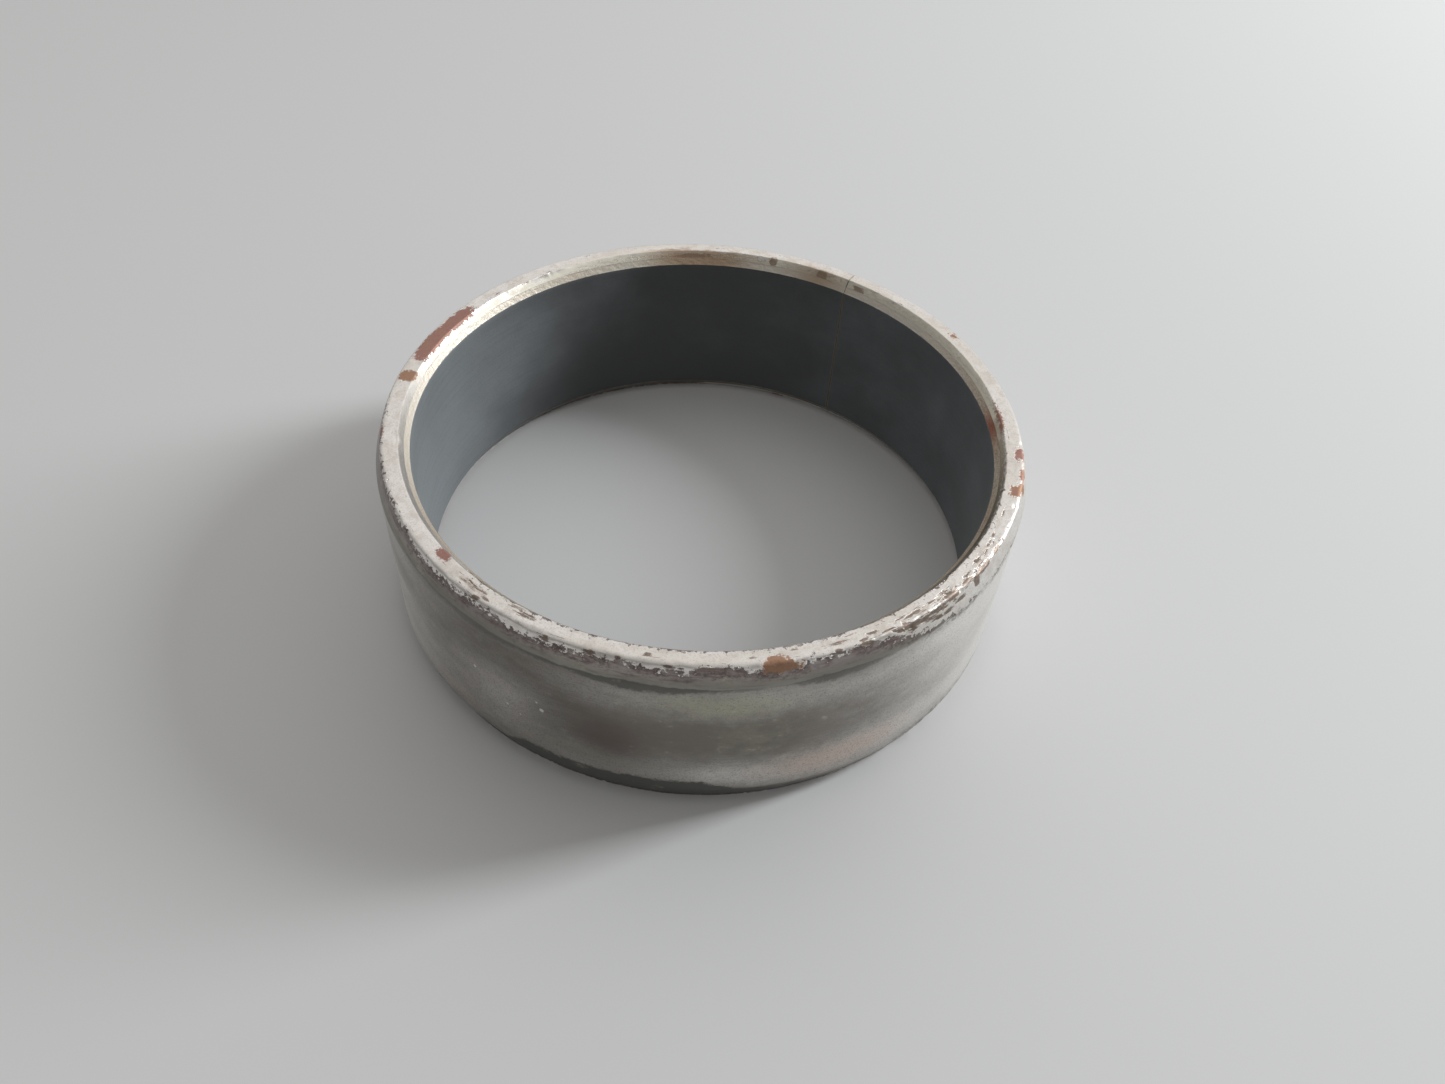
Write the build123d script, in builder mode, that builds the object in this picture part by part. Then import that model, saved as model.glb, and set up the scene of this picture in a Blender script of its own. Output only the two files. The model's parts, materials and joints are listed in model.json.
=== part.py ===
"""A wrapped composite plain bearing bush, in millimetres.

One strip of three-layer stock is rolled into a ring and left with a straight butt joint. From the
outside in, the layers are a steel backing, a sintered bronze interlayer and a thin running layer.
The bush stands on its lower end face: the origin is the centre of that face, +Z is the bore's axis.
"""

import os
from math import degrees, radians, tan

from build123d import *

# Driving dimensions of the bush.
bore_diameter = 35.0
wall_thickness = 2.0
width = 12.0

# The strip's layers. The steel takes what the two bore layers leave of the wall.
lining_thickness = 0.03
interlayer_thickness = 0.27

# The lead-in chamfers are the same at both ends. Their angles are measured from the bore's axis.
outer_chamfer_length = 1.2
outer_chamfer_angle = 20.0
bore_chamfer_length = 0.85
bore_chamfer_angle = 35.0

# The butt joint, where the two ends of the strip meet. Its angle is anticlockwise from +X.
joint_angle = 60.0
joint_gap = 0.04

# Radii of the layers' cylindrical faces.
bore_radius = bore_diameter / 2
outer_radius = bore_radius + wall_thickness
lining_back_radius = bore_radius + lining_thickness
steel_bore_radius = lining_back_radius + interlayer_thickness

# The chamfers leave a flat ring on each end, between these radii.
end_face_outer_radius = outer_radius - outer_chamfer_length * tan(radians(outer_chamfer_angle))
end_face_inner_radius = bore_radius + bore_chamfer_length * tan(radians(bore_chamfer_angle))

# Each layer is its section turned about the axis, from one face of the butt joint to the other.
joint_gap_angle = degrees(joint_gap / outer_radius)
strip_angle = 360 - joint_gap_angle
joint_face = Plane.XZ.rotated((0, 0, joint_angle + joint_gap_angle / 2))


def bore_chamfer_height(radius):
    """The height above the end face at which the bore chamfer reaches this radius."""
    return (end_face_inner_radius - radius) / tan(radians(bore_chamfer_angle))


def bore_layer_section(inner_radius, outer_radius):
    """The (radius, height) corners of a layer that the bore chamfer cuts at both of its ends."""
    inner_end = bore_chamfer_height(inner_radius)
    outer_end = bore_chamfer_height(outer_radius)
    return [
        (inner_radius, inner_end),
        (outer_radius, outer_end),
        (outer_radius, width - outer_end),
        (inner_radius, width - inner_end),
    ]


# The steel backing has the outside, the end faces, the outer chamfers and the foot of the bore chamfers.
steel_chamfer_end = bore_chamfer_height(steel_bore_radius)
steel_section = [
    (steel_bore_radius, steel_chamfer_end),
    (end_face_inner_radius, 0),
    (end_face_outer_radius, 0),
    (outer_radius, outer_chamfer_length),
    (outer_radius, width - outer_chamfer_length),
    (end_face_outer_radius, width),
    (end_face_inner_radius, width),
    (steel_bore_radius, width - steel_chamfer_end),
]
with BuildPart() as steel_backing:
    with BuildSketch(joint_face):
        with BuildLine():
            Polyline(steel_section, close=True)
        make_face()
    revolve(axis=Axis.Z, revolution_arc=strip_angle)

# The sintered bronze fills the wall between the steel and the running layer.
with BuildPart() as bronze_interlayer:
    with BuildSketch(joint_face):
        with BuildLine():
            Polyline(bore_layer_section(lining_back_radius, steel_bore_radius), close=True)
        make_face()
    revolve(axis=Axis.Z, revolution_arc=strip_angle)

# The running layer is the bore that the shaft turns in.
with BuildPart() as sliding_lining:
    with BuildSketch(joint_face):
        with BuildLine():
            Polyline(bore_layer_section(bore_radius, lining_back_radius), close=True)
        make_face()
    revolve(axis=Axis.Z, revolution_arc=strip_angle)

steel_backing.part.label = "steel_backing"
bronze_interlayer.part.label = "bronze_interlayer"
sliding_lining.part.label = "sliding_lining"

os.makedirs("parts", exist_ok=True)
export_step(steel_backing.part, "parts/steel_backing.step")
export_step(bronze_interlayer.part, "parts/bronze_interlayer.step")
export_step(sliding_lining.part, "parts/sliding_lining.step")
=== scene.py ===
"""Looks of a wrapped plain bearing bush: worn tin flash over steel, a bronze edge and a dark lining.

Lengths are millimetres until a mesh is written, and angles are degrees anticlockwise from +X. Colours are
linear red, green and blue.
The bush is rolled from a flat strip, so its surface has two flat coordinates: s runs along the strip
from one face of the butt joint to the other, and t runs across it, round the wall's section.
"""
import json
from math import cos, pi, radians, sin, tan
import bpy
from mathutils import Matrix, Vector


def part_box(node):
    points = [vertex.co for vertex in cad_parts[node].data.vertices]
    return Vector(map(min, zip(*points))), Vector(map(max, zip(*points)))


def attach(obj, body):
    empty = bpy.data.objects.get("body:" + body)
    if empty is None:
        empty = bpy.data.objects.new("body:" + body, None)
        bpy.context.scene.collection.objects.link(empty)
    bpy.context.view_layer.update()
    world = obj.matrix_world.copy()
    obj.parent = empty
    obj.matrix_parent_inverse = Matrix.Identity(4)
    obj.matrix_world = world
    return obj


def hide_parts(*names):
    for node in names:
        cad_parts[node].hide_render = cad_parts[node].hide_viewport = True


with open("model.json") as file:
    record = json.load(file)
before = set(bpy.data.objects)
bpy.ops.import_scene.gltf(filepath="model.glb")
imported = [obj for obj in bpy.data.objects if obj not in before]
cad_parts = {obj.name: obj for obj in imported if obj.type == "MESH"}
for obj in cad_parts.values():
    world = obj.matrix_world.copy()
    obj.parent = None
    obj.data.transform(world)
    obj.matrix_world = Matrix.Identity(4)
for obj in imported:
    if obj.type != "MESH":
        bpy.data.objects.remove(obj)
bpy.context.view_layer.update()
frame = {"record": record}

from types import SimpleNamespace

import bpy
import numpy as np
from mathutils import Matrix, Vector

MM = 0.001

# ---------------------------------------------------------------------------------------------
# Sizes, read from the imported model
# ---------------------------------------------------------------------------------------------
mounts = {mount["name"]: mount for mount in frame["record"]["mounts"]}
BORE_RADIUS = mounts["bore"]["dims"]["r_mm"]
OUTER_RADIUS = mounts["outside"]["dims"]["r_mm"]
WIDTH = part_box("steel_backing")[1][2] / MM
LINING_BACK_RADIUS = max(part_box("sliding_lining")[1][:2]) / MM
STEEL_BORE_RADIUS = max(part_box("bronze_interlayer")[1][:2]) / MM
BORE_CHAMFER_LENGTH = (WIDTH - mounts["bore"]["dims"]["length_mm"]) / 2
OUTER_CHAMFER_LENGTH = (WIDTH - mounts["outside"]["dims"]["length_mm"]) / 2
BORE_CHAMFER_SLOPE = tan(radians(35))  # the chamfers' angles are measured from the bore's axis
OUTER_CHAMFER_SLOPE = tan(radians(20))
FACE_INNER_RADIUS = BORE_RADIUS + BORE_CHAMFER_LENGTH * BORE_CHAMFER_SLOPE

# The butt joint, whose two edges are slightly rounded.
JOINT_ANGLE = 60.0
JOINT_GAP = 0.04
JOINT_ROUNDING = 0.03
STRIP_LENGTH = 2 * pi * OUTER_RADIUS - JOINT_GAP

# The bush was slightly oval when its outside was chamfered, so each chamfer is longest here and a
# half turn away, and shortest between.
OVAL_ANGLE = 250.0
UPPER_CHAMFER_EXTRA = 0.02
UPPER_CHAMFER_SWING = 0.12
LOWER_CHAMFER_EXTRA = 0.15
LOWER_CHAMFER_SWING = 0.25

# Roundings of the steel's edges: face to outer chamfer, outer chamfer to wall, and the bore's and foot's.
FACE_EDGE_ROUNDING = 0.20
WALL_EDGE_ROUNDING = 0.16
FOOT_EDGE_ROUNDING = 0.07
BORE_EDGE_ROUNDING = 0.05

# The mesh: columns along the strip, those that the joint's rounding adds, points in each bend, and the angle
# in degrees from which an edge is shaded sharp.
COLUMNS = 1180
JOINT_COLUMNS = np.array([0.0, 0.006, 0.013, 0.022, 0.034])
FIRST_PLAIN_COLUMN = 0.1
BEND_POINTS = 5
SHARP_FROM = 33.0


# ---------------------------------------------------------------------------------------------
# The strip
# ---------------------------------------------------------------------------------------------
def strip_columns():
    """Positions along the strip, in millimetres, closer together where the joint's edges are rounded."""
    middle = np.linspace(FIRST_PLAIN_COLUMN, STRIP_LENGTH - FIRST_PLAIN_COLUMN, COLUMNS)
    return np.concatenate([JOINT_COLUMNS, middle, STRIP_LENGTH - JOINT_COLUMNS[::-1]])


S = strip_columns()
ANGLE = JOINT_ANGLE + np.degrees((S + JOINT_GAP / 2) / OUTER_RADIUS)
FROM_JOINT = np.minimum(S, STRIP_LENGTH - S)


def turned(angle, centre):
    """Degrees from a centre to each angle, the short way round."""
    return (angle - centre + 180) % 360 - 180


def bell(value, middle, half_width, power=2):
    """A soft rise of height 1 round a middle value; a higher power gives it a flatter top."""
    return np.exp(-(((value - middle) / half_width) ** power))


def bell_round(angle, centre, half_angle, power=2):
    """The same round an angle, the short way round."""
    return bell(turned(angle, centre), 0, half_angle, power)


def blob(angle, across, centre, half_angle, middle, half_width):
    """A soft spot of height 1 on the strip, at an angle and a place across."""
    return np.exp(-((turned(angle, centre) / half_angle) ** 2) - ((across - middle) / half_width) ** 2)


def uneven(s, t, length, height, seed):
    """Smooth random values from -1 to 1 that change over a length along the strip and a height across it.

    They match where the strip's two ends meet. The lead keeps places that lie before t = 0 on the grid.
    """
    lead = 20
    cells = round(STRIP_LENGTH / length)
    u = s / STRIP_LENGTH * cells
    v = (t + lead) / height
    grid = np.random.default_rng(seed).uniform(-1, 1, (cells, int(v.max()) + 2))
    i = np.floor(u).astype(int)
    j = np.floor(v).astype(int)
    a = (u - i) ** 2 * (3 - 2 * (u - i))
    b = (v - j) ** 2 * (3 - 2 * (v - j))
    here = i % cells
    following = (i + 1) % cells
    near = grid[here, j] * (1 - b) + grid[here, j + 1] * b
    far = grid[following, j] * (1 - b) + grid[following, j + 1] * b
    return near * (1 - a) + far * a


def along(angle, knots):
    """A value that eases through (angle, value) knots once round the bush."""
    angles = [a for a, _ in knots]
    values = [v for _, v in knots]
    return np.interp(angle % 360, angles, values, period=360)


def section_rows(corners, start):
    """Every (radius, height) row of a section, and how far each row lies past the corner named start.

    A corner is (radius, height, rounding, cells): the rounding is cut from both of its sides, and the
    cells divide the straight that follows it.
    """
    points = [np.stack(np.broadcast_arrays(r + 0 * ANGLE, z + 0 * ANGLE)) for r, z, _, _ in corners]
    count = len(points)
    rows = []
    start_row = 0
    for k in range(count):
        here = points[k]
        before = points[k - 1] - here
        after = points[(k + 1) % count] - here
        rounding, cells = corners[k][2:]
        enter = here + before / np.hypot(*before) * rounding
        leave = here + after / np.hypot(*after) * rounding
        bends = np.linspace(0, 1, BEND_POINTS) if rounding else [0.5]
        if k == start:
            start_row = len(rows) + len(bends) // 2
        for w in bends:
            rows.append((1 - w) ** 2 * enter + 2 * w * (1 - w) * here + w**2 * leave)
        following = points[(k + 1) % count]
        next_rounding = corners[(k + 1) % count][2]
        reach = following - after / np.hypot(*after) * next_rounding
        for cell in range(1, cells):
            rows.append(leave + (reach - leave) * cell / cells)
    radius = np.array([row[0] for row in rows])
    height = np.array([row[1] for row in rows])
    steps = np.hypot(np.diff(radius, axis=0), np.diff(height, axis=0))
    travelled = np.concatenate([np.zeros((1, len(ANGLE))), np.cumsum(steps, axis=0)])
    return radius, height, travelled - travelled[start_row]


def raised(radius, height, relief):
    """The section moved outward along its own normal by a relief in millimetres."""
    dr = np.roll(radius, -1, axis=0) - np.roll(radius, 1, axis=0)
    dz = np.roll(height, -1, axis=0) - np.roll(height, 1, axis=0)
    size = np.maximum(np.hypot(dr, dz), 1e-9)
    return radius - dz / size * relief, height + dr / size * relief


def joint_drop():
    """How far the surface drops towards the two faces of the joint, whose edges are rounded."""
    inside = np.clip(JOINT_ROUNDING - FROM_JOINT, 0, JOINT_ROUNDING)
    return JOINT_ROUNDING - np.sqrt(JOINT_ROUNDING**2 - inside**2)


def strip_mesh(name, radius, height, fields):
    """A closed mesh of the rolled strip, with its fields stored on the vertices."""
    turn = np.radians(ANGLE)
    place = np.stack([radius * np.cos(turn), radius * np.sin(turn), height], axis=-1) * MM
    rows, columns = radius.shape
    index = np.arange(rows * columns).reshape(rows, columns)
    below = np.roll(index, -1, axis=0)
    quads = np.stack([index[:, :-1], below[:, :-1], below[:, 1:], index[:, 1:]], axis=-1)
    faces = quads.reshape(-1, 4).tolist()
    faces.append(index[::-1, 0].tolist())
    faces.append(index[:, -1].tolist())
    mesh = bpy.data.meshes.new(name)
    mesh.from_pydata(place.reshape(-1, 3).tolist(), [], faces)
    mesh.shade_smooth()
    mesh.set_sharp_from_angle(angle=radians(SHARP_FROM))
    fields = {"east": OUTER_RADIUS * np.cos(turn), "north": OUTER_RADIUS * np.sin(turn), **fields}
    for field, values in fields.items():
        layer = mesh.attributes.new(field, "FLOAT", "POINT")
        layer.data.foreach_set("value", np.broadcast_to(values, radius.shape).astype(np.float32).ravel())
    mesh.validate()
    piece = bpy.data.objects.new(name, mesh)
    bpy.context.scene.collection.objects.link(piece)
    return piece


# ---------------------------------------------------------------------------------------------
# Materials
# ---------------------------------------------------------------------------------------------
class Surface:
    """A material under construction, with one short method for each kind of node."""

    def __init__(self, name):
        self.material = bpy.data.materials.new(name)
        self.material.use_nodes = True
        self.tree = self.material.node_tree
        self.tree.nodes.clear()
        self.shader = self.tree.nodes.new("ShaderNodeBsdfPrincipled")
        output = self.tree.nodes.new("ShaderNodeOutputMaterial")
        self.tree.links.new(self.shader.outputs["BSDF"], output.inputs["Surface"])

    def feed(self, socket, value):
        if isinstance(value, bpy.types.NodeSocket):
            self.tree.links.new(value, socket)
        elif isinstance(value, tuple) and len(value) == 3 and socket.type == "RGBA":
            socket.default_value = (*value, 1.0)
        else:
            socket.default_value = value

    def field(self, name):
        node = self.tree.nodes.new("ShaderNodeAttribute")
        node.attribute_name = name
        return node.outputs["Fac"]

    def maths(self, operation, a, b=0.0, clamp=False):
        node = self.tree.nodes.new("ShaderNodeMath")
        node.operation = operation
        node.use_clamp = clamp
        self.feed(node.inputs[0], a)
        self.feed(node.inputs[1], b)
        return node.outputs[0]

    def strip(self, along_scale, across_scale, shift=0.0):
        """A place on the rolled strip, with a scale for the way round and another for the way across.

        A shift of 1 moves it far enough across for a pattern that has nothing to do with the unshifted one.
        """
        far = 100
        node = self.tree.nodes.new("ShaderNodeCombineXYZ")
        self.feed(node.inputs[0], self.maths("MULTIPLY", self.field("east"), along_scale))
        self.feed(node.inputs[1], self.maths("MULTIPLY", self.field("north"), along_scale))
        across = self.maths("MULTIPLY", self.field("t"), across_scale)
        self.feed(node.inputs[2], self.maths("ADD", across, far * shift))
        return node.outputs[0]

    def noise(self, along_scale, across_scale, shift=0.0, detail=3.0, roughness=0.55):
        """Noise from about 0.25 to 0.75 whose features are 1 / scale millimetres long and tall."""
        node = self.tree.nodes.new("ShaderNodeTexNoise")
        node.inputs["Scale"].default_value = 1.0
        node.inputs["Detail"].default_value = detail
        node.inputs["Roughness"].default_value = roughness
        self.feed(node.inputs["Vector"], self.strip(along_scale, across_scale, shift))
        return node.outputs["Fac"]

    def away_from(self, angle, across):
        """Distance in millimetres from a point of the strip at an angle and a place across."""
        node = self.tree.nodes.new("ShaderNodeVectorMath")
        node.operation = "DISTANCE"
        self.feed(node.inputs[0], self.strip(1.0, 1.0))
        turn = radians(angle)
        node.inputs[1].default_value = (OUTER_RADIUS * cos(turn), OUTER_RADIUS * sin(turn), across)
        return node.outputs["Value"]

    def around(self, noise, swing):
        """A noise made to swing both ways round zero."""
        return self.maths("MULTIPLY", self.maths("SUBTRACT", noise, 0.5), swing)

    def ease(self, value, low, high, to_low=0.0, to_high=1.0):
        """Value from low to high made to run smoothly from to_low to to_high."""
        node = self.tree.nodes.new("ShaderNodeMapRange")
        node.interpolation_type = "SMOOTHSTEP"
        self.feed(node.inputs["Value"], value)
        ends = {"From Min": low, "From Max": high, "To Min": to_low, "To Max": to_high}
        for socket, number in ends.items():
            self.feed(node.inputs[socket], number)
        return node.outputs["Result"]

    def mix(self, share, a, b):
        """Colour a where share is 0 and colour b where it is 1."""
        node = self.tree.nodes.new("ShaderNodeMix")
        node.data_type = "RGBA"
        self.feed(node.inputs["Factor"], share)
        self.feed(node.inputs["A"], a)
        self.feed(node.inputs["B"], b)
        return node.outputs["Result"]

    def blend(self, share, a, b):
        """Number a where share is 0 and number b where it is 1."""
        node = self.tree.nodes.new("ShaderNodeMix")
        node.data_type = "FLOAT"
        self.feed(node.inputs["Factor"], share)
        self.feed(node.inputs["A"], a)
        self.feed(node.inputs["B"], b)
        return node.outputs["Result"]

    def bump(self, height, depth, below=None):
        """A normal bent by a height from 0 to 1 that stands for a depth in millimetres."""
        node = self.tree.nodes.new("ShaderNodeBump")
        node.inputs["Distance"].default_value = depth * MM
        self.feed(node.inputs["Height"], height)
        if below is not None:
            self.feed(node.inputs["Normal"], below)
        return node.outputs["Normal"]

    def finish(self, **sockets):
        for name, value in sockets.items():
            self.feed(self.shader.inputs[name.replace("_", " ")], value)
        return self.material


def steel_noises(m):
    """The noises that the steel's surface is made from, coarse to fine."""
    return SimpleNamespace(
        clouds=m.noise(0.16, 0.45, 7.7, detail=5.0, roughness=0.62),
        mottle=m.noise(1.1, 1.6, 3.9, detail=4.0, roughness=0.65),
        patches=m.noise(0.95, 3.2, 5.2, detail=5.0, roughness=0.62),
        streaks=m.noise(0.75, 7.0, 4.1, detail=6.0, roughness=0.70),
        ragged=m.noise(3.2, 4.4, 1.3, detail=6.0, roughness=0.72),
        brushing=m.noise(0.35, 22.0, 9.2, detail=3.0),
        grain=m.noise(11.0, 11.0, 2.6, detail=3.0, roughness=0.65),
    )


def wall_colour(m, n):
    """Bare outside wall: dull grey with olive and brown, and painted bands of reflected light and shade that
    run round it.
    """
    dark_grey, pale_grey = (0.205, 0.188, 0.165), (0.87, 0.845, 0.815)
    olive_tint, brown_tint, pink_tint = (0.42, 0.415, 0.30), (0.205, 0.160, 0.150), (0.68, 0.54, 0.48)
    grit_colour, speck_colour = (0.22, 0.205, 0.185), (0.9, 0.89, 0.86)
    # Painted reflection and shade come in through the shade field; the noises add the wall's own uneven tone.
    tone = m.maths("ADD", m.field("shade"), m.around(n.clouds, 1.1))
    tone = m.maths("ADD", tone, m.around(n.mottle, 0.55))
    tone = m.maths("ADD", tone, m.around(n.brushing, 0.35))
    wall = m.mix(m.ease(tone, -0.95, 1.5), dark_grey, pale_grey)
    olive = m.maths("ADD", m.field("olive"), m.around(n.mottle, 1.2))
    wall = m.mix(m.ease(olive, 0.1, 1.1, 0.0, 0.6), wall, olive_tint)
    stain = m.maths("ADD", m.field("stain"), m.around(n.mottle, 1.2))
    wall = m.mix(m.ease(stain, 0.1, 1.0, 0.0, 0.85), wall, brown_tint)
    blush = m.maths("ADD", m.field("blush"), m.around(n.mottle, 0.8))
    wall = m.mix(m.ease(blush, 0.1, 1.0, 0.0, 0.7), wall, pink_tint)
    grit = m.maths("MULTIPLY", m.ease(n.grain, 0.48, 0.7), m.field("grit"))
    wall = m.mix(grit, wall, grit_colour)
    for angle, across, size in SPECKS:
        edge = m.maths("ADD", m.away_from(angle, across), m.around(n.grain, size))
        wall = m.mix(m.ease(edge, size, 0.6 * size), wall, speck_colour)
    return wall


def chamfer_colour(m, n):
    """Chamfers: dark purple-grey tarnish, olive towards the wall and brown down the bore."""
    dark_tarnish, pale_tarnish = (0.27, 0.24, 0.235), (0.41, 0.37, 0.345)
    purple, bore_brown = (0.19, 0.135, 0.14), (0.46, 0.41, 0.32)
    olive, olive_edge = (0.30, 0.30, 0.23), (0.255, 0.255, 0.215)
    chamfer = m.mix(m.ease(n.clouds, 0.35, 0.65), dark_tarnish, pale_tarnish)
    chamfer = m.mix(m.ease(n.streaks, 0.46, 0.66, 0.0, 0.7), chamfer, purple)
    chamfer = m.mix(m.ease(n.mottle, 0.52, 0.7, 0.0, 0.5), chamfer, olive)
    chamfer = m.mix(m.ease(m.field("wall"), -0.75, -0.2, 0.0, 0.65), chamfer, olive_edge)
    return m.mix(m.ease(m.field("t"), 0.0, -0.15), chamfer, bore_brown)


def tin_colour(m, n):
    """Tin: pale grey, mottled, with painted light that makes it brightest on the front chamfer, and browned
    where it is scuffed.
    """
    tin = m.mix(m.ease(n.clouds, 0.35, 0.7), (0.79, 0.76, 0.73), (0.70, 0.665, 0.61))
    tin = m.mix(m.ease(n.mottle, 0.45, 0.70, 0.0, 0.65), tin, (0.57, 0.525, 0.485))
    tin = m.mix(m.ease(n.grain, 0.48, 0.70, 0.0, 0.55), tin, (0.48, 0.445, 0.405))
    tin = m.mix(m.ease(n.ragged, 0.52, 0.66, 0.0, 0.35), tin, (0.52, 0.475, 0.45))
    # Painted light: the tin on the front chamfer is made near white where light falls on it.
    tin = m.mix(m.field("bright"), tin, (0.98, 0.945, 0.91))
    rubbed = m.maths("MULTIPLY", m.ease(m.field("scuff"), 0.3, 0.9), m.ease(n.mottle, 0.40, 0.62))
    return m.mix(m.maths("MULTIPLY", rubbed, 0.75), tin, (0.42, 0.345, 0.29))


def wear_through(m, n):
    """Where the tin is worn through: short scratches, ragged blotches, and the patches among them."""
    limit = m.maths("SUBTRACT", 0.70, m.maths("MULTIPLY", m.field("scuff"), 0.24))
    fleck = m.ease(m.maths("SUBTRACT", n.streaks, limit), -0.01, 0.035)
    limit = m.maths("SUBTRACT", 0.72, m.maths("MULTIPLY", m.field("blotch"), 0.24))
    blotch = m.ease(m.maths("SUBTRACT", n.patches, limit), -0.015, 0.03)
    patch_edge = m.maths("ADD", m.around(n.ragged, 0.35), m.around(n.streaks, 0.25))
    patch = m.ease(m.maths("ADD", m.field("patch"), patch_edge), -0.03, 0.045)
    return fleck, m.maths("MAXIMUM", blotch, patch), patch


def steel_surface():
    """Tin flash, bright on the end faces and worn to brown and copper, over dull tarnished steel."""
    m = Surface("tinned_steel")
    n = steel_noises(m)
    on_wall = m.ease(m.maths("ADD", m.field("wall"), m.around(n.ragged, 0.4)), -0.1, 0.08)
    base = m.mix(on_wall, chamfer_colour(m, n), wall_colour(m, n))

    # A black line under the upper chamfer's edge, and black round the foot, partly painted reflection of the
    # shaded floor and partly dark tarnish.
    black_edge = m.maths("ADD", m.around(n.ragged, 0.5), m.around(n.mottle, 0.7))
    black = m.ease(m.maths("ADD", m.field("black"), black_edge), -0.12, 0.16)
    black = m.maths("MULTIPLY", black, m.field("blackness"))
    base = m.mix(black, base, (0.113, 0.114, 0.105))

    # The tin ends in a ragged edge past each end face, with a dark fringe along it.
    tin_edge = m.maths("ADD", m.field("tin"), m.around(n.ragged, 2.1))
    tinned = m.ease(tin_edge, -0.03, 0.03)
    fringe = m.maths("MULTIPLY", m.ease(tin_edge, -0.75, -0.05), m.ease(n.mottle, 0.35, 0.6))
    fringe = m.maths("MULTIPLY", fringe, m.ease(m.field("t"), -0.12, 0.05))
    base = m.mix(m.maths("MULTIPLY", fringe, 0.85), base, (0.125, 0.088, 0.086))

    fleck, blotch, patch = wear_through(m, n)
    fleck_colour = m.mix(m.ease(n.ragged, 0.4, 0.6), (0.15, 0.115, 0.105), (0.30, 0.205, 0.155))
    blotch_colour = m.mix(m.ease(n.ragged, 0.4, 0.6), (0.180, 0.142, 0.122), (0.290, 0.232, 0.190))
    tin = m.mix(fleck, tin_colour(m, n), fleck_colour)
    tin = m.mix(blotch, tin, blotch_colour)
    base = m.mix(tinned, base, tin)

    # A cream to brown film over the bore chamfer, worn through in the same patches, and the joint's edges.
    film = m.ease(m.maths("ADD", m.field("film"), m.around(n.mottle, 1.6)), 0.15, 0.8, 0.0, 0.85)
    film_colour = m.mix(m.field("tan"), (0.80, 0.755, 0.64), (0.45, 0.325, 0.22))
    base = m.mix(film, base, film_colour)
    bore_side = m.maths("MULTIPLY", patch, m.ease(m.field("t"), 0.0, -0.15))
    base = m.mix(m.maths("MULTIPLY", bore_side, 0.8), base, (0.27, 0.185, 0.13))
    base = m.mix(m.maths("MULTIPLY", m.field("joint"), 0.8), base, (0.46, 0.43, 0.38))

    # Copper: the strike under the tin, bare in a few spots.
    copper = m.ease(m.maths("ADD", m.field("copper"), m.around(n.ragged, 0.9)), -0.05, 0.07)
    hue = m.ease(m.maths("ADD", m.field("rust"), m.around(n.mottle, 2.2)), 0.0, 1.0)
    copper_colour = m.mix(hue, (0.37, 0.215, 0.135), (0.335, 0.175, 0.145))
    copper_colour = m.mix(m.ease(n.grain, 0.45, 0.7, 0.0, 0.55), copper_colour, (0.20, 0.12, 0.085))
    base = m.mix(copper, base, copper_colour)

    bare = m.maths("MULTIPLY", m.maths("MAXIMUM", fleck, blotch), tinned)
    dull = m.maths("MAXIMUM", film, m.field("joint"))
    rough = m.blend(tinned, m.blend(on_wall, 0.34, 0.38), 0.34)
    rough = m.maths("ADD", rough, m.around(n.grain, 0.22))
    rough = m.maths("ADD", rough, m.around(n.clouds, 0.15))
    for share, roughness in ((bare, 0.5), (dull, 0.62), (copper, 0.55), (black, 0.62)):
        rough = m.blend(share, rough, roughness)
    metal = m.blend(tinned, 0.95, 0.8)
    for share, metallic in ((copper, 0.55), (dull, 0.3), (black, 0.35)):
        metal = m.blend(share, metal, metallic)

    plate = m.maths("SUBTRACT", tinned, m.maths("MULTIPLY", bare, 0.8))
    plate = m.maths("SUBTRACT", plate, m.maths("MULTIPLY", copper, 0.8), clamp=True)
    normal = m.bump(plate, 0.014)
    normal = m.bump(n.mottle, 0.012, normal)
    normal = m.bump(n.brushing, 0.004, normal)
    normal = m.bump(n.grain, 0.004, normal)
    return m.finish(Base_Color=base, Roughness=rough, Metallic=metal, Normal=normal)


def bronze_surface():
    """Sintered bronze: fine joined grains, cream to brown, redder at one place, pale with a painted glint at
    the left, and dark with painted shade towards the floor.
    """
    m = Surface("sintered_bronze")
    clouds = m.noise(0.25, 1.2, 3.3, detail=3.0)
    grain = m.noise(9.0, 9.0, 5.9, detail=3.0, roughness=0.6)
    base = m.mix(m.ease(clouds, 0.35, 0.68), (0.55, 0.49, 0.395), (0.50, 0.395, 0.30))
    base = m.mix(m.field("rust"), base, (0.33, 0.12, 0.07))
    base = m.mix(m.ease(grain, 0.42, 0.7, 0.0, 0.6), base, (0.13, 0.095, 0.065))
    # Painted glint: pale bronze where a glint falls at the left, and pale worn bronze at the back.
    base = m.mix(m.field("wear_and_painted_glint"), base, (0.72, 0.68, 0.60))
    base = m.mix(m.field("brown"), base, (0.45, 0.33, 0.225))
    # Painted shade: the bronze darkens towards the floor, where shade falls.
    base = m.mix(m.ease(m.field("t"), 5.0, 6.0, 0.0, 0.7), base, (0.075, 0.060, 0.050))
    normal = m.bump(grain, 0.02)
    rough = m.ease(grain, 0.3, 0.7, 0.46, 0.62)
    return m.finish(Base_Color=base, Roughness=rough, Metallic=0.5, Normal=normal)


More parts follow.
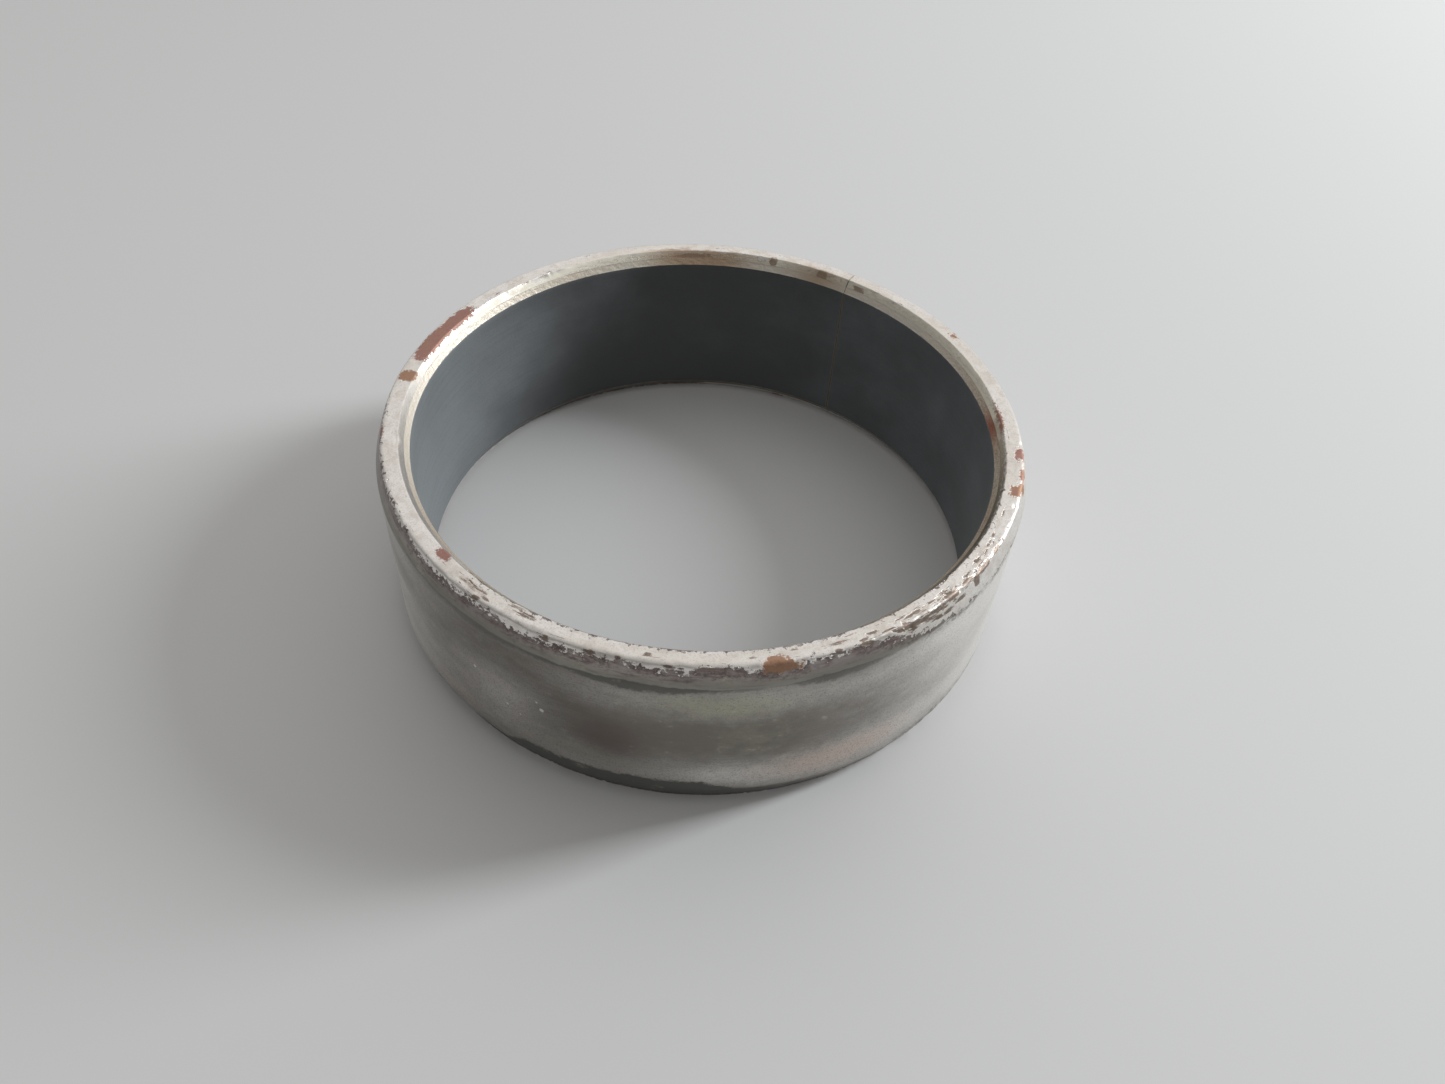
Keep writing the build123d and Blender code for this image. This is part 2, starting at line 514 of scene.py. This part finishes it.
def lining_surface():
    """The running layer: dark blue-grey, smooth, with painted light and shade and some faint hazing, and
    bronze showing along the joint.
    """
    m = Surface("ptfe_lining")
    haze_and_painted_light = m.noise(0.16, 0.22, 6.4, detail=4.0, roughness=0.55)
    rubbed = m.noise(0.12, 6.0, 8.8, detail=3.0)
    grain = m.noise(10.0, 10.0, 1.1, detail=2.0)
    # Painted light and shade: lighter on the lit left side, darker at the back and low down, mixed with some
    # hazing.
    painted_light_and_hazing = m.maths("ADD", m.field("haze_and_painted_light"), m.around(haze_and_painted_light, 0.85))
    base = m.mix(m.ease(painted_light_and_hazing, -0.5, 0.5), (0.082, 0.085, 0.087), (0.200, 0.217, 0.230))
    base = m.mix(m.ease(rubbed, 0.45, 0.7, 0.0, 0.15), base, (0.080, 0.085, 0.090))
    base = m.mix(m.ease(grain, 0.5, 0.75, 0.0, 0.3), base, (0.070, 0.076, 0.080))
    base = m.mix(m.ease(m.field("joint"), 0.2, 0.9, 0.0, 0.6), base, (0.22, 0.18, 0.13))
    rough = m.ease(m.maths("ADD", haze_and_painted_light, m.maths("MULTIPLY", grain, 0.3)), 0.4, 0.9, 0.42, 0.54)
    normal = m.bump(rubbed, 0.003)
    normal = m.bump(grain, 0.002, normal)
    return m.finish(Base_Color=base, Roughness=rough, Metallic=0.0, IOR=1.38, Normal=normal)


# ---------------------------------------------------------------------------------------------
# The steel backing
# ---------------------------------------------------------------------------------------------
# How far across from the face's bore edge the bright tin reaches, round the upper end of the bush.
TIN_REACH = [
    (0, 2.1), (60, 1.7), (120, 1.7), (170, 1.3), (185, 1.02), (207, 1.0), (209, 0.84), (211, 1.02),
    (215, 1.08), (216.5, 0.92), (218, 1.12), (225, 1.28), (232, 1.28), (240, 1.18), (243, 1.32), (250, 1.34),
    (256, 1.18), (262, 1.22), (266, 1.30), (271, 1.30), (272.5, 1.00), (279, 1.04), (280, 1.30), (288, 1.30),
    (290, 1.06), (300, 1.12), (304, 1.45), (308, 1.75), (312, 2.0), (320, 2.2), (345, 2.3),
]

# The same at the lower end.
TIN_REACH_BELOW = [
    (0, 1.9), (60, 1.3), (120, 1.2), (180, 0.9), (290, 0.9), (306, 1.4), (311, 2.2), (332, 2.2), (345, 1.9),
]

# How far the tin reaches the other way, down the bore chamfer. The lower end has the same, turned.
TIN_START = [(10, -0.16), (25, -0.32), (118, -0.32), (132, -0.9), (226, -0.9), (233, -0.02), (300, -0.02)]
LOWER_START_TURN = 137

# Bare copper spots: angle, half width in degrees, middle and half height across, and how red they are.
# The first few are also at the lower end, turned.
COPPER_SPOTS = [
    (155.8, 5.6, 0.34, 0.52, 1.0), (163.8, 6.4, 0.36, 0.56, 0.8), (175.1, 1.7, 0.36, 0.52, 0.1),
    (191.0, 1.3, 0.96, 0.15, 0.5), (224.9, 1.5, 0.16, 0.38, 1.2), (284.9, 3.1, 1.12, 0.34, -0.4),
    (284.3, 2.0, 0.90, 0.38, -0.3), (5.0, 3.6, -0.06, 0.18, 0.7),
    (345.0, 1.5, 0.66, 0.36, 0.15), (346.6, 1.1, 1.12, 0.42, -0.1), (350.1, 1.8, 0.98, 0.24, 0.8),
    (355.2, 1.7, 0.78, 0.30, 0.9), (32.0, 0.9, 0.62, 0.20, 0.5),
]
LOWER_SPOTS = 8
LOWER_SPOTS_TURN = 151

# Brown patches where the tin and the film have rubbed through: angle, half width in degrees, middle and
# half height across.
PATCHES = [
    (232.0, 1.1, 0.50, 0.06), (235.6, 1.3, 0.40, 0.07), (237.0, 0.8, 0.66, 0.09), (235.6, 0.7, 0.92, 0.12),
    (242.2, 1.4, 0.18, 0.06), (243.7, 0.6, 0.33, 0.06), (245.2, 1.3, 0.43, 0.08), (249.0, 0.5, 1.10, 0.16),
    (256.2, 1.1, 1.05, 0.14), (260.6, 0.5, 1.02, 0.16), (264.7, 0.6, 0.50, 0.12), (268.2, 0.9, 1.05, 0.12),
    (274.8, 2.4, 1.12, 0.14), (278.5, 1.3, 1.20, 0.10), (280.4, 0.6, 0.44, 0.05), (287.4, 0.5, 0.28, 0.06),
    (294.0, 0.6, 0.98, 0.18), (293.6, 1.3, 0.55, 0.06), (297.2, 1.3, 1.12, 0.12), (300.3, 1.0, 0.58, 0.10),
    (305.4, 1.2, 0.52, 0.07), (306.0, 0.5, 0.92, 0.24), (308.6, 1.6, 0.58, 0.09), (307.6, 1.5, 1.14, 0.14),
    (312.6, 1.5, 0.56, 0.09), (311.0, 1.4, 1.38, 0.10), (313.0, 2.4, 1.04, 0.13), (315.6, 1.6, 0.46, 0.06),
    (316.5, 1.6, 0.98, 0.21), (314.6, 1.3, 1.62, 0.12), (318.0, 1.2, 1.46, 0.13), (321.6, 0.9, 0.62, 0.08),
    (322.6, 0.9, 1.28, 0.34), (325.6, 1.1, 0.52, 0.11), (325.2, 2.4, 1.02, 0.17), (328.4, 0.8, 0.55, 0.06),
    (329.9, 1.4, 0.97, 0.13), (331.9, 1.4, 0.45, 0.07), (335.6, 0.9, 0.92, 0.08), (339.0, 0.7, 0.35, 0.06),
    (57.0, 1.4, -0.40, 0.20), (66.4, 1.3, -0.30, 0.28), (78.1, 0.9, -0.20, 0.36), (97.0, 5.0, -0.36, 0.16),
]

# Where scratches crowd through the tin: angle, half width in degrees, middle and half height across, and
# how closely they lie.
SCUFFS = [
    (234.0, 6.0, 0.50, 0.35, 0.55), (244.0, 3.5, 0.40, 0.25, 0.55), (275.0, 60.0, 0.00, 0.07, 0.50),
    (250.0, 32.0, 1.05, 0.25, 0.42), (294.0, 4.0, 0.45, 0.20, 0.40), (310.0, 13.0, 0.85, 0.75, 0.50),
    (328.0, 9.0, 0.55, 0.45, 0.35), (4.0, 8.0, 0.30, 0.30, 0.30), (95.0, 25.0, 0.05, 0.20, 0.45),
    (142.0, 14.0, 0.30, 0.50, 0.25), (50.0, 12.0, 0.00, 0.20, 0.40),
]

# Where the tin has worn off in brown patches, written the same way.
BLOTCHES = [
    (246.0, 18.0, 1.05, 0.25, 0.40), (298.0, 7.0, 1.05, 0.35, 0.80), (306.0, 6.0, 1.25, 0.55, 0.76),
    (314.0, 6.0, 1.20, 0.65, 0.74), (322.0, 6.0, 0.85, 0.60, 0.72), (331.0, 5.0, 0.65, 0.50, 0.60),
    (40.0, 10.0, 0.90, 0.30, 0.40), (120.0, 16.0, 0.60, 0.40, 0.35),
]

# Where a cream to brown film lies over the bore chamfer, written the same way.
FILMS = [
    (94.0, 13.0, -0.42, 0.46, 1.30), (68.0, 11.0, -0.42, 0.48, 1.25), (38.0, 20.0, -0.42, 0.44, 1.25),
    (16.0, 12.0, -0.40, 0.36, 1.00), (104.0, 5.0, 0.05, 0.25, 0.50), (118.0, 10.0, -0.34, 0.40, 1.10),
    (150.0, 24.0, -0.34, 0.26, 0.85),
]

# Places on the bare wall that are lighter or darker, as painted reflected light and shade, and places that
# are olive, brown or pink: angle, half width in degrees, middle height and half height above the floor, and
# how strongly.
PAINTED_REFLECTION_SPOTS = [
    (205, 15, 6.0, 8.0, 0.80), (240, 9, 6.0, 2.0, 0.75), (238, 12, 9.2, 1.6, -0.30), (319, 9, 9.5, 1.8, 0.50),
    (319, 8, 2.8, 1.6, -0.30), (279, 10, 2.7, 0.8, 0.35),
]
OLIVES = [
    (276, 13, 9.3, 1.0, 1.0), (281, 7, 6.3, 2.0, 0.45), (255, 14, 3.4, 0.8, 0.6), (110, 22, 8.4, 1.2, 0.7),
]
STAINS = [
    (259.5, 6, 5.6, 1.7, 0.95), (293, 5, 6.0, 1.6, 0.3), (148, 13, 5.4, 1.6, 0.8), (63, 8, 4.2, 1.8, 0.6),
]
BLUSHES = [
    (297, 15, 3.0, 1.3, 1.0), (228, 8, 2.6, 0.8, 0.5), (88, 16, 2.8, 1.1, 0.7), (24, 12, 7.8, 1.4, 0.6),
]

# The black line under the upper chamfer's edge, and the black round the foot, which is partly painted shade
# from the floor beneath and partly dark tarnish: how far down the wall the first reaches, how high up from
# the floor the second does, and how black each is.
UNDER_EDGE = [
    (180, 0.0), (215, 0.05), (228, 0.16), (236, 0.44), (244, 0.20), (252, 0.22), (258, 0.36), (262, 0.54),
    (268, 0.42), (276, 0.16), (285, 0.08), (292, 0.46), (297, 0.42), (303, 0.12), (320, 0.0),
]
UNDER_EDGE_BLACKNESS = [
    (180, 0.2), (225, 0.3), (240, 0.5), (256, 0.85), (272, 0.8), (282, 0.4), (292, 0.7), (300, 0.6),
    (312, 0.2),
]
FOOT_TOP = [
    (180, 0.5), (215, 0.9), (222, 1.65), (228, 1.40), (234, 1.30), (239.5, 1.42), (241, 1.75), (243, 2.15),
    (250, 2.20), (255, 2.15), (262, 2.32), (274, 2.28), (276.5, 1.98), (279, 1.62), (282, 1.40), (286, 1.15),
    (292, 0.9), (320, 0.4),
]
FOOT_BLACKNESS = [
    (0, 0.3), (180, 0.4), (215, 0.6), (228, 0.75), (240, 0.9), (246, 1), (278, 1), (288, 0.7), (305, 0.35),
    (325, 0.1),
]

# Bright specks on the wall: angle, place across and radius.
SPECKS = [
    (234.6, 6.45, 0.13), (247.8, 7.05, 0.17), (247.0, 6.5, 0.09), (241.0, 8.05, 0.12), (243.5, 8.4, 0.07),
]


def spot_depth(angle, across, spots):
    """How deep inside the nearest rounded spot each point is, in millimetres, and that spot's hue."""
    depth = np.full(across.shape, -1.0)
    hue = np.zeros(across.shape)
    for centre, half_angle, middle, half_height, red in spots:
        half_length = radians(half_angle) * OUTER_RADIUS
        side = radians(1) * OUTER_RADIUS * turned(angle, centre) / half_length
        reach = (np.abs(side) ** 3 + np.abs((across - middle) / half_height) ** 3) ** (1 / 3)
        here = (1 - reach) * min(half_length, half_height)
        hue = np.where(here > depth, red, hue)
        depth = np.maximum(depth, here)
    return depth, hue


def crowding(angle, across, stretches):
    """How strongly marks gather at each point, from a list of soft stretches."""
    return sum(
        strength * blob(angle, across, centre, half_angle, middle, half_height)
        for centre, half_angle, middle, half_height, strength in stretches
    )


def nicks(s, t, count, first, last, seed):
    """Small dents scattered along an edge of the strip, between two places across it."""
    rng = np.random.default_rng(seed)
    relief = np.zeros(t.shape)
    for _ in range(count):
        here = rng.uniform(0, STRIP_LENGTH)
        across = rng.uniform(first, last)
        length = rng.uniform(0.08, 0.45)
        height = rng.uniform(0.06, 0.14)
        depth = rng.uniform(0.01, 0.045)
        near = np.abs(s - here) < 4 * length
        shape = np.exp(-(((s[near] - here) / length) ** 2) - ((t[:, near] - across) / height) ** 2)
        relief[:, near] -= depth * shape
    return relief


def steel_shape():
    """The steel's section all round, and the places on it that its wear is laid out by."""
    swing = np.cos(2 * np.radians(ANGLE - OVAL_ANGLE))
    ripple = 0.03 * uneven(S, 0 * S, 2.2, 1.0, 11) + 0.02 * uneven(S, 0 * S, 0.7, 1.0, 12)
    upper = OUTER_CHAMFER_LENGTH + UPPER_CHAMFER_EXTRA + UPPER_CHAMFER_SWING * swing + ripple
    lower = OUTER_CHAMFER_LENGTH + LOWER_CHAMFER_EXTRA + LOWER_CHAMFER_SWING * swing - ripple
    steel_end = (FACE_INNER_RADIUS - STEEL_BORE_RADIUS) / BORE_CHAMFER_SLOPE
    upper_face_radius = OUTER_RADIUS - upper * OUTER_CHAMFER_SLOPE
    lower_face_radius = OUTER_RADIUS - lower * OUTER_CHAMFER_SLOPE
    corners = [
        (STEEL_BORE_RADIUS, WIDTH - steel_end, 0.0, 3),
        (FACE_INNER_RADIUS, WIDTH, BORE_EDGE_ROUNDING, 10),
        (upper_face_radius, WIDTH, FACE_EDGE_ROUNDING, 8),
        (OUTER_RADIUS, WIDTH - upper, WALL_EDGE_ROUNDING, 20),
        (OUTER_RADIUS, lower, WALL_EDGE_ROUNDING, 5),
        (lower_face_radius, 0.0, FOOT_EDGE_ROUNDING, 3),
        (FACE_INNER_RADIUS, 0.0, BORE_EDGE_ROUNDING, 2),
        (STEEL_BORE_RADIUS, steel_end, 0.0, 1),
    ]
    radius, height, t = section_rows(corners, start=1)

    # Across is measured from the bore edge of whichever end face is nearer, and into the wall is how far
    # past that end's chamfer a place lies.
    chamfer_slant = np.hypot(1, OUTER_CHAMFER_SLOPE)
    upper_face_end = upper_face_radius - FACE_INNER_RADIUS
    lower_face_end = lower_face_radius - FACE_INNER_RADIUS
    upper_wall_edge = upper_face_end + upper * chamfer_slant
    lower_wall_edge = lower_face_end + lower * chamfer_slant
    whole = upper_wall_edge + (WIDTH - upper - lower) + lower * chamfer_slant + lower_face_end
    is_upper = t < whole / 2
    return SimpleNamespace(
        radius=radius,
        height=height,
        t=t,
        s=np.broadcast_to(S, t.shape),
        angle=np.broadcast_to(ANGLE, t.shape),
        is_upper=is_upper,
        across=np.where(is_upper, t, whole - t),
        into_wall=np.where(is_upper, t - upper_wall_edge, whole - t - lower_wall_edge),
    )


def tin_fields(p):
    """Where the tin lies, and where it is worn, filmed over, painted bright with light, or gone down to the
    copper.
    """
    reach = along(ANGLE, TIN_REACH) + 0.05 * uneven(S, 0 * S, 1.3, 1.0, 21)
    lower_reach = along(ANGLE, TIN_REACH_BELOW) + 0.1 * uneven(S, 0 * S, 1.6, 1.0, 22)
    start = np.where(p.is_upper, along(ANGLE, TIN_START), along(ANGLE + LOWER_START_TURN, TIN_START))
    copper, hue = spot_depth(p.angle, p.across, COPPER_SPOTS)
    lower_spots = COPPER_SPOTS[:LOWER_SPOTS]
    lower_copper, lower_hue = spot_depth(p.angle + LOWER_SPOTS_TURN, p.across, lower_spots)
    patch, _ = spot_depth(p.angle, p.across, [(*place, 0.0) for place in PATCHES])
    return {
        "tin": np.minimum(np.where(p.is_upper, reach, lower_reach) - p.across, p.across - start),
        "scuff": 0.12 + crowding(p.angle, p.across, SCUFFS),
        "blotch": crowding(p.angle, p.across, BLOTCHES),
        "patch": np.where(p.is_upper, patch, -1.0),
        "film": crowding(p.angle, p.across, FILMS) * p.is_upper,
        "tan": bell_round(p.angle, 95, 12, 4) + 0.8 * bell_round(p.angle, 67, 6),
        # Painted light on the tin of the front chamfer.
        "bright": 0.85 * np.clip((p.across - 0.75) / 0.35, 0, 1) * bell_round(p.angle, 255, 42, 6),
        "copper": np.where(p.is_upper, copper, lower_copper),
        "rust": np.where(p.is_upper, hue, lower_hue),
    }


def wall_fields(p):
    """The bare wall's light and dark bands, which are painted reflected light and shade, its stains, and the
    black at its two edges.
    """
    angle, height = p.angle, p.height
    under_edge = along(ANGLE, UNDER_EDGE) - np.maximum(p.into_wall, -3 * p.into_wall)
    foot = along(ANGLE, FOOT_TOP) - height
    edge_blackness, foot_blackness = along(ANGLE, UNDER_EDGE_BLACKNESS), along(ANGLE, FOOT_BLACKNESS)

    # Painted reflection and shade: lighter bands under the chamfer and low down, a darker band across the
    # middle of the front, the whole front a little darker, and the side near 342 degrees lighter where light
    # falls. The drift is the wall's own uneven tone.
    front = np.clip(np.cos(np.radians(turned(angle, 277)) * 2.5), 0, 1)
    dim = bell_round(angle, 269, 48, 6)
    bands = 0.25 * bell(height, 9.6, 0.9) + 0.50 * bell(height, 2.8, 1.2)
    drift = 0.45 * uneven(p.s, p.t, 11.0, 3.4, 71) + 0.25 * uneven(p.s, p.t, 5.0, 1.3, 72)
    shade = bands - 0.30 * dim - 0.55 * front * bell(height, 6.2, 1.9, 4) + drift * (1 - dim)
    shade = shade + 1.3 * bell_round(angle, 342, 33)
    return {
        "wall": p.into_wall,
        "shade": shade + crowding(angle, height, PAINTED_REFLECTION_SPOTS),
        "olive": crowding(angle, height, OLIVES),
        "stain": crowding(angle, height, STAINS),
        "blush": crowding(angle, height, BLUSHES),
        "grit": 0.34 + 0.34 * dim,
        "black": np.where(p.is_upper, under_edge, foot),
        "blackness": np.where(p.is_upper, edge_blackness, foot_blackness),
    }


def steel_relief(p):
    """The steel's waviness, nicks, rubbed stretch and rounded joint edges, in millimetres."""
    relief = 0.012 * uneven(p.s, p.t, 9.0, 4.0, 31) + 0.004 * uneven(p.s, p.t, 1.1, 0.5, 32)
    relief = relief + nicks(S, p.t, 150, 0.75, 1.25, 41) + nicks(S, p.t, 40, -0.15, 0.1, 42)
    rubbed = bell_round(ANGLE, 318, 16) * 0.022 * uneven(p.s, p.t, 0.35, 0.16, 43)
    relief = relief + rubbed * (p.across > 0.5) * (p.into_wall < 0.1)
    return relief - joint_drop()


def steel_backing():
    place = steel_shape()
    fields = {"t": place.t, "joint": bell(FROM_JOINT, 0, 0.05), **tin_fields(place), **wall_fields(place)}
    radius, height = raised(place.radius, place.height, steel_relief(place))
    piece = strip_mesh("steel_shell", radius, height, fields)
    piece.data.materials.append(steel_surface())
    return piece


# ---------------------------------------------------------------------------------------------
# The two bore layers
# ---------------------------------------------------------------------------------------------
def layer_corners(inner, outer, end_cells, bore_cells):
    """The corners of a layer that the bore chamfer cuts at both ends, from its lower bore edge."""
    inner_end = (FACE_INNER_RADIUS - inner) / BORE_CHAMFER_SLOPE
    outer_end = (FACE_INNER_RADIUS - outer) / BORE_CHAMFER_SLOPE
    return [
        (inner, inner_end, 0.0, bore_cells),
        (inner, WIDTH - inner_end, 0.0, end_cells),
        (outer, WIDTH - outer_end, 0.0, 1),
        (outer, outer_end, 0.0, end_cells),
    ]


def bronze_interlayer():
    radius, height, t = section_rows(layer_corners(LINING_BACK_RADIUS, STEEL_BORE_RADIUS, 9, 1), start=1)
    clear = 0.01
    on_chamfer = (radius > LINING_BACK_RADIUS + clear) & (radius < STEEL_BORE_RADIUS - clear)
    grains = 0.010 * uneven(S, t, 0.16, 0.11, 51) + 0.008 * uneven(S, t, 0.45, 0.3, 52)
    radius, height = raised(radius, height, on_chamfer * (grains - 0.004))
    fields = {
        "t": t,
        "rust": bell_round(ANGLE, 5, 5),
        "brown": bell_round(ANGLE, 95, 11, 4) + 0.8 * bell_round(ANGLE, 67, 6),
        # A painted glint at the left, and pale worn bronze at the back.
        "wear_and_painted_glint": 0.75 * bell_round(ANGLE, 168, 42, 4) + 0.8 * bell_round(ANGLE, 70, 52, 6),
    }
    piece = strip_mesh("bronze_layer", radius, height, fields)
    piece.data.materials.append(bronze_surface())
    return piece


def sliding_lining():
    radius, height, t = section_rows(layer_corners(BORE_RADIUS, LINING_BACK_RADIUS, 2, 40), start=1)
    on_bore = radius < BORE_RADIUS + 0.005
    worn = 0.004 * uneven(S, t, 5.0, 2.5, 61) + 0.0015 * uneven(S, t, 0.8, 0.6, 62)
    radius, height = raised(radius, height, on_bore * (worn - 0.004))
    # Painted light and shade on the lining: lighter on the left, where the lamp lights it, darker at the back
    # and low down near 118 degrees, with some hazing.
    haze_and_painted_light = 0.46 * bell_round(ANGLE, 172, 38) - 0.36 * bell_round(ANGLE, 90, 48)
    haze_and_painted_light = haze_and_painted_light - 0.3 * blob(ANGLE, height, 118, 30, 1.5, 4.0)
    fields = {"t": t, "joint": bell(FROM_JOINT, 0, 0.09), "haze_and_painted_light": haze_and_painted_light}
    piece = strip_mesh("ptfe_lining", radius, height, fields)
    piece.data.materials.append(lining_surface())
    return piece


steel = steel_backing()
bronze = bronze_interlayer()
lining = sliding_lining()
for piece, node, slot in (
    (steel, "steel_backing", "tinned_steel"),
    (bronze, "bronze_interlayer", "sintered_bronze"),
    (lining, "sliding_lining", "ptfe_lining"),
):
    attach(piece, "root")
    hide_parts(node)


# ---------------------------------------------------------------------------------------------
# Floor, light and camera
# ---------------------------------------------------------------------------------------------
# The floor's half width and the window's sizes are in metres, and the camera's place is in millimetres.
FLOOR_HALF_WIDTH = 2.0
WINDOW = {
    "azimuth": 20.5, "elevation": 29.5, "distance": 0.396, "width": 0.064, "height": 0.185, "power": 1.27,
    "colour": (0.97, 1.0, 1.015),
}
CAMERA_PLACE = (1.57, -52.43, 55.78)
CAMERA_LOOKING_DOWN = 46.27
CAMERA_TILT = 4.22
CAMERA_LENS = 28.02
SENSOR_WIDTH = 36.0

# The room's brightness towards each direction: overhead, behind the bush, to its right, and everywhere.
ROOM_LIGHT = {"Z": 0.50, "Y": 0.75, "X": 0.06}
ROOM_FILL = 0.03
ROOM_COLOUR = (1.02, 1.0, 0.98)
BACKDROP = (0.34, 0.342, 0.345)


def make_floor():
    mesh = bpy.data.meshes.new("floor")
    half = FLOOR_HALF_WIDTH
    corners = [(-half, -half, 0), (half, -half, 0), (half, half, 0), (-half, half, 0)]
    mesh.from_pydata(corners, [], [(0, 1, 2, 3)])
    floor = bpy.data.objects.new("floor", mesh)
    bpy.context.scene.collection.objects.link(floor)
    m = Surface("pale_floor")
    pale_grey = (0.60, 0.605, 0.605)
    mesh.materials.append(m.finish(Base_Color=pale_grey, Roughness=0.7, Specular_IOR_Level=0.2))


def soft_light(name, azimuth, elevation, distance, width, height, power, colour):
    """An upright rectangular lamp that faces the bush from a compass direction."""
    lamp = bpy.data.lights.new(name, "AREA")
    lamp.shape = "RECTANGLE"
    lamp.size = width
    lamp.size_y = height
    lamp.energy = power
    lamp.color = colour
    holder = bpy.data.objects.new(name, lamp)
    a, e = radians(azimuth), radians(elevation)
    holder.location = Vector((cos(a) * cos(e), sin(a) * cos(e), sin(e))) * distance
    holder.rotation_euler = holder.location.to_track_quat("Z", "Y").to_euler()
    bpy.context.scene.collection.objects.link(holder)


def make_room():
    """Soft grey light from above and behind, and a plain pale backdrop past the floor's edge."""
    world = bpy.data.worlds.new("room")
    bpy.context.scene.world = world
    world.use_nodes = True
    tree = world.node_tree
    place = tree.nodes.new("ShaderNodeTexCoord")
    split = tree.nodes.new("ShaderNodeSeparateXYZ")
    tree.links.new(place.outputs["Generated"], split.inputs[0])
    total = None
    for axis, brightness in ROOM_LIGHT.items():
        towards = tree.nodes.new("ShaderNodeMath")
        towards.operation = "MAXIMUM"
        tree.links.new(split.outputs[axis], towards.inputs[0])
        towards.inputs[1].default_value = 0.0
        share = tree.nodes.new("ShaderNodeMath")
        share.operation = "MULTIPLY_ADD"
        tree.links.new(towards.outputs[0], share.inputs[0])
        share.inputs[1].default_value = brightness
        share.inputs[2].default_value = ROOM_FILL
        if total is not None:
            tree.links.new(total, share.inputs[2])
        total = share.outputs[0]
    light = tree.nodes["Background"]
    light.inputs["Color"].default_value = (*ROOM_COLOUR, 1.0)
    tree.links.new(total, light.inputs["Strength"])
    backdrop = tree.nodes.new("ShaderNodeBackground")
    backdrop.inputs["Color"].default_value = (*BACKDROP, 1.0)
    path = tree.nodes.new("ShaderNodeLightPath")
    choose = tree.nodes.new("ShaderNodeMixShader")
    tree.links.new(path.outputs["Is Camera Ray"], choose.inputs[0])
    tree.links.new(light.outputs[0], choose.inputs[1])
    tree.links.new(backdrop.outputs[0], choose.inputs[2])
    tree.links.new(choose.outputs[0], tree.nodes["World Output"].inputs["Surface"])


def make_camera():
    """A wide-angle camera close above the bush, tilted a little to one side as it was held."""
    camera_data = bpy.data.cameras.new("camera")
    camera_data.lens = CAMERA_LENS
    camera_data.sensor_width = SENSOR_WIDTH
    camera_data.clip_start = 5 * MM
    camera = bpy.data.objects.new("camera", camera_data)
    camera.location = Vector(CAMERA_PLACE) * MM
    pitch = Matrix.Rotation(radians(90 - CAMERA_LOOKING_DOWN), 3, "X")
    roll = Matrix.Rotation(radians(CAMERA_TILT), 3, "Z")
    camera.rotation_euler = (pitch @ roll).to_euler()
    bpy.context.scene.collection.objects.link(camera)
    bpy.context.scene.camera = camera


make_floor()
make_room()
soft_light("window", **WINDOW)
make_camera()
bpy.context.scene.view_settings.view_transform = "Standard"
